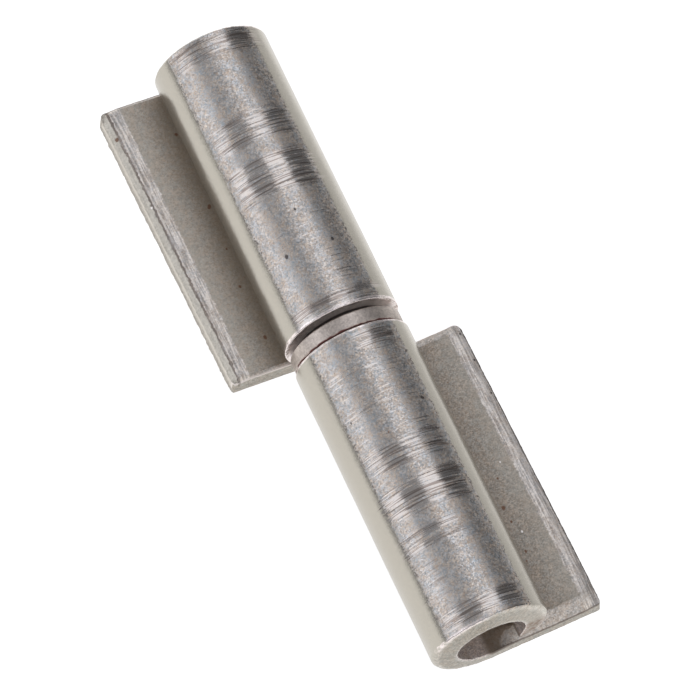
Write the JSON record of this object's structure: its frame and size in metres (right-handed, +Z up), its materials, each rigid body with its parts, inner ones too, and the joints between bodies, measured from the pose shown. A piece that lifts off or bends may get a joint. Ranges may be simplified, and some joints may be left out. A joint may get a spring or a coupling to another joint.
{
  "type": "weld-on barrel hinge",
  "caption": "Lift-off hinge for welding on: flat leaves rolled into barrels, one gripping the pin, the other turning on it above a loose ring.",
  "frame": {"origin": "on the pin's axis, level with the lower leaf's bottom end", "axes": "+Z up along the pin, +X from the pin to the lower leaf's free edge, +Y towards the faces that are welded on"},
  "size_m": [0.0281, 0.0144, 0.0808],
  "materials": {
    "leaf_steel": "bare strip, dull grey, with burnished rings from rolling",
    "pin_steel": "drawn bar, smooth",
    "ring_steel": "turned, dull"
  },
  "bodies": {
    "lower_half": {"lower_leaf": "leaf_steel", "hinge_pin": "pin_steel"},
    "ring": {"washer": "ring_steel"},
    "upper_half": {"upper_leaf": "leaf_steel"}
  },
  "joints": [
    {"name": "leaf_turn", "type": "hinge", "parent": "lower_half", "child": "ring", "pos_m": [0, 0, 0.0386], "axis": [0, 0, 1], "continuous": true},
    {"name": "lift_off", "type": "slide", "parent": "ring", "child": "upper_half", "axis": [0, 0, 1], "range_m": [-0.00065, 0.036]}
  ]
}
